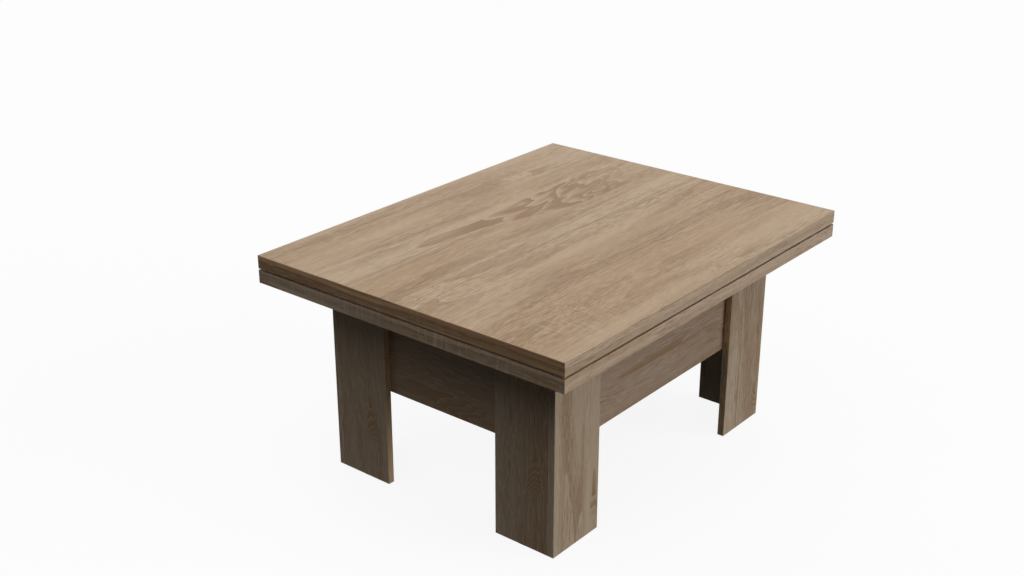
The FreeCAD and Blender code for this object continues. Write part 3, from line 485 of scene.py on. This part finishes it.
def screw_group(name, body, places, head, shank, length):
    """One piece of like screws, each at a point and along a way into the wood, stopped at its own turn."""
    turn_each = 0.7
    one = screw_mesh(head, shank, length)
    work = bmesh.new()
    for number, (point, way) in enumerate(places):
        turned = one.copy()
        twist = Matrix.Rotation(turn_each * number, 4, "Z")
        aim = way.to_track_quat("Z", "Y").to_matrix().to_4x4()
        turned.transform(Matrix.Translation(point) @ aim @ twist)
        work.from_mesh(turned)
        bpy.data.meshes.remove(turned)
    mesh = bpy.data.meshes.new(name)
    work.to_mesh(mesh)
    work.free()
    mesh.materials.append(zinc)
    piece = bpy.data.objects.new(name, mesh)
    bpy.context.scene.collection.objects.link(piece)
    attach(piece, body)
    return piece


for node, body in (("leg_screws", "base"), ("bracket_screws", "base"), ("rail_screws", "top")):
    places = []
    for spots in islands(node):
        low, high = span(spots)
        axis = max(range(3), key=lambda i: high[i] - low[i])
        length = high[axis] - low[axis]
        middle = (low + high) / 2
        head_low = sum(v[axis] < middle[axis] for v in spots) > len(spots) / 2
        way = Vector([float(i == axis) for i in range(3)]) * (1 if head_low else -1)
        places.append((middle - way * length / 2, way))
    screws = screw_group(f"{node}_cross_head", body, places, screw_head, screw_shank, length)
    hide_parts(node)


# Torsion springs: 8 mm oil-tempered wire wound on the axle tube. One leg bears on the rail of the base,
# the other lifts the pin on the rear arm, and the coils wind up between the two.

# Oil-tempered spring wire: drawn steel with a dark, patchy oxide skin and a broken shine
spring_steel, tree, shader = material("oil_tempered_spring_wire")
patch_size = 6 * mm
place = add(tree, "TexCoord", out="Object")
scale = add(tree, "TexNoise", {"Vector": place, "Scale": 1 / patch_size, "Detail": 5.0, "Roughness": 0.65})
skin = {0: scale, 1: linear("#4A4A4E"), 2: linear("#6C6B6A")}
tree.links.new(add(tree, "Mix", skin, data_type="RGBA"), shader.inputs["Base Color"])
tree.links.new(add(tree, "MapRange", {0: scale, 3: 0.3, 4: 0.5}), shader.inputs["Roughness"])
shader.inputs["Metallic"].default_value = 0.9

lift_joint = next(joint for joint in frame["joints"] if joint["name"] == "lift")
axle = Vector(lift_joint["pos_m"])
wire_radius, coil_radius = 4 * mm, 22 * mm
turns, pitch = 3, 11 * mm
spring_low, spring_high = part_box("torsion_springs")
outer_x = spring_high.x - wire_radius

# The arm's leg leaves the coil at the dip that takes it close under the seat pin
clearance = 0.3 * mm
pin_low, pin_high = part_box("spring_seat_pins")
pin_mid = (pin_low + pin_high) / 2
pin_gap = coil_radius + wire_radius + clearance + (pin_high.z - pin_low.z) / 2
to_pin = Vector((pin_mid.y - axle.y, pin_mid.z - axle.z))
dip = math.atan2(to_pin.y, to_pin.x) - math.asin(pin_gap / to_pin.length)

# The base's leg meets the coil on its front. From there the coil turns flat for an eighth of a turn,
# climbs along the tube, and turns flat again before the arm's leg
first_angle, flat_stretch = math.pi, math.pi / 4
steps_per_turn = 28
sweep = first_angle - (math.pi / 2 + dip) + 2 * math.pi * turns
climb = sweep - 2 * flat_stretch
inner_x = outer_x - pitch * climb / (2 * math.pi)
route = [Vector((inner_x, axle.y - coil_radius, spring_low.z))]
steps = steps_per_turn * turns
for i in range(steps + 1):
    turned = sweep * (i / steps)
    angle = first_angle - turned
    along = min(max((turned - flat_stretch) / climb, 0), 1)
    x = inner_x + (outer_x - inner_x) * along
    y = axle.y + coil_radius * math.cos(angle)
    z = axle.z + coil_radius * math.sin(angle)
    route.append(Vector((x, y, z)))

# The arm's leg ends just inside the box of the plain spring that it stands for
within_box = 0.995
leg = Vector((0, math.cos(dip), math.sin(dip)))
route.append(route[-1] + leg * (spring_high.y - route[-1].y) / leg.y * within_box)

for name, side in (("left", -1), ("right", 1)):
    line = bpy.data.curves.new(f"spring_wire_{name}", "CURVE")
    line.dimensions = "3D"
    line.bevel_depth = wire_radius
    line.bevel_resolution = 4
    line.use_fill_caps = True
    spline = line.splines.new("POLY")
    spline.points.add(len(route) - 1)
    for point, spot in zip(spline.points, route):
        point.co = (side * spot.x, spot.y, spot.z, 1)
    rough = bpy.data.objects.new(f"spring_line_{name}", line)
    bpy.context.scene.collection.objects.link(rough)
    bpy.context.view_layer.update()
    mesh = bpy.data.meshes.new_from_object(rough.evaluated_get(bpy.context.evaluated_depsgraph_get()))
    bpy.data.objects.remove(rough)
    mesh.polygons.foreach_set("use_smooth", [True] * len(mesh.polygons))
    mesh.materials.clear()
    mesh.materials.append(spring_steel)
    spring = bpy.data.objects.new(f"torsion_spring_{name}", mesh)
    bpy.context.scene.collection.objects.link(spring)
    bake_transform(spring)
    if side < 0:
        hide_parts("torsion_springs")


# Leaves: two 30 mm boards with the same oak print, grain along the table, lying one on the other. Each
# was cut from another place on the print, and the upper one has a long flame towards the back.

leaf_tones = ("#BBA285", "#AA8C6C")
long_flame = dict(tip=(-270, 174), way=1, lean=0.08, tongue=21, belly=55, first=250, reach=820)
upper_cut, lower_cut = (0, 0, 2200), (300, 2400, 0)
upper_marks = dict(cut_at=upper_cut, saw=0.3, figures=[long_flame])
finish_nodes(oak_board("oak_melamine_top", "xyz", leaf_tones, **upper_marks), "upper_leaf")
finish_nodes(oak_board("oak_melamine_lower_leaf", "xyz", leaf_tones, cut_at=lower_cut), "lower_leaf")


# Edging: 2 mm strips of printed plastic glued round each leaf, with the print running along them and
# darker strips on the short ends, partly their own darker print and partly painted shade. Where the leaves
# meet, the arris is painted dark brown: painted shade of the gap between the leaves, laid on the scraped
# strip.

brown_core = "#5E4936"
up, down = 1, -1
# The strips on the short ends are darker than the sides: partly the print's own dark streaks and partly
# painted shade for the end of the table that the light reaches least
for leaf, sides, ends, saw, seam_way in (
    ("upper_leaf", ("#CEB9A0", "#B99E83"), ("#CDA67E", "#7C5B3B"), 0.1, down),
    ("lower_leaf", ("#CFB8A0", "#B89B81"), ("#C0AB94", "#8F7B66"), 0.45, up),
):
    ends_partly_shaded = dict(axis="X", way=outward, order="yzx", tones=ends, streak=1.2)
    seam = dict(way=seam_way, core=brown_core)
    strip_print = dict(edge=ends_partly_shaded, seam=seam, band=15, streak=0.2, saw=saw, saw_from=0.4)
    finish_nodes(oak_board(f"oak_edging_{leaf}", "xzy", sides, **strip_print), f"{leaf}_edging")


# Hinge screws: three short countersunk screws through each hinge plate into its leaf, in a row along
# the back edge.

hinge_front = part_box("hinge_lower_plates")[0].y
hinge_spans = [span(plate) for plate in islands("hinge_lower_plates")]
lower_leaf_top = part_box("lower_leaf")[1].z
upper_leaf_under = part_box("upper_leaf")[0].z
plate_thick, plate_margin, screw_spacing = 1.1 * mm, 10 * mm, 18 * mm
hinge_screw = dict(head=2.6 * mm, shank=1.3 * mm, length=12 * mm)
screw_y = hinge_front + plate_margin
for body, level, way in (
    ("top", lower_leaf_top + plate_thick, down),
    ("upper_leaf", upper_leaf_under - plate_thick, up),
):
    places = []
    for low, high in hinge_spans:
        middle = (low.x + high.x) / 2
        for step in (-screw_spacing, 0, screw_spacing):
            places.append((Vector((middle + step, screw_y, level)), Vector((0, 0, way))))
    screw_group(f"hinge_screws_{body}", body, places, **hinge_screw)


# Studio: a white paper floor that keeps a faint shadow, a wide diffuser overhead, one that faces the
# long side and a weaker one behind. The camera stands off the front corner, as in the photograph.

half = 40.0
corners = [(-half, -half, 0), (half, -half, 0), (half, half, 0), (-half, half, 0)]
floor_mesh = bpy.data.meshes.new("studio_floor")
floor_mesh.from_pydata(corners, [], [(0, 1, 2, 3)])
floor = bpy.data.objects.new("studio_floor", floor_mesh)
bpy.context.scene.collection.objects.link(floor)


def looked_at(tree):
    """One where the camera looks, straight or by way of metal or glass, and nought for other light."""
    rays = add(tree, "LightPath").node.outputs
    seen = add(tree, "Math", {0: rays["Is Camera Ray"], 1: rays["Is Glossy Ray"]}, operation="MAXIMUM")
    return add(tree, "Math", {0: seen, 1: rays["Is Transmission Ray"]}, operation="MAXIMUM")


# White paper: glows white where it is looked at, and throws little light back on the table
paper = bpy.data.materials.new("white_paper")
paper.use_nodes = True
tree = paper.node_tree
tree.nodes.clear()
glow_share = 0.9
bounce = add(tree, "BsdfDiffuse", {"Color": linear("#191B1D")})
shadowed = add(tree, "BsdfDiffuse", {"Color": linear("#FFFFFF")})
glow = add(tree, "Emission", {"Color": linear("#FFFFFF"), "Strength": 1.0})
white = add(tree, "MixShader", {0: glow_share, 1: shadowed, 2: glow})
both = add(tree, "MixShader", {0: looked_at(tree), 1: bounce, 2: white})
add(tree, "OutputMaterial", {"Surface": both})
floor_mesh.materials.append(paper)

# The room is white where it is looked at, and otherwise only a dim bluish fill
world = bpy.data.worlds.new("white_studio")
world.use_nodes = True
bpy.context.scene.world = world
tree = world.node_tree
tree.nodes.clear()
dim = add(tree, "Background", {"Color": linear("#DDE6F2"), "Strength": 0.012})
bright = add(tree, "Background", {"Color": linear("#FDFDFD"), "Strength": 1.0})
both = add(tree, "MixShader", {0: looked_at(tree), 1: dim, 2: bright})
add(tree, "OutputWorld", {"Surface": both})

# Each diffuser has the way that its light goes, a strength and a spread in degrees
for name, way, strength, spread in (
    ("overhead_diffuser", (0.14, 0.0, -1.0), 1.82, 88),
    ("long_side_diffuser", (-0.45, 1.0, -0.35), 1.56, 40),
    ("back_diffuser", (-0.8, -1.0, -0.3), 0.95, 60),
):
    lamp = bpy.data.lights.new(name, "SUN")
    lamp.energy = strength
    lamp.angle = math.radians(spread)
    stand = bpy.data.objects.new(name, lamp)
    stand.rotation_euler = Vector(way).to_track_quat("-Z", "Y").to_euler()
    bpy.context.scene.collection.objects.link(stand)

# The camera's place and aim were worked out from the edges of the top and the legs in the photograph
camera = bpy.data.cameras.new("photo_camera")
camera.lens = 50
camera.sensor_width = 36
stand = bpy.data.objects.new("photo_camera", camera)
stand.location = (-2.286, -1.7384, 1.6033)
yaw, pitch_down = math.radians(50.779), math.radians(23.201)
stand.rotation_euler = (math.pi / 2 - pitch_down, 0, -yaw)
bpy.context.scene.collection.objects.link(stand)
bpy.context.scene.camera = stand
bpy.context.scene.view_settings.view_transform = "Standard"
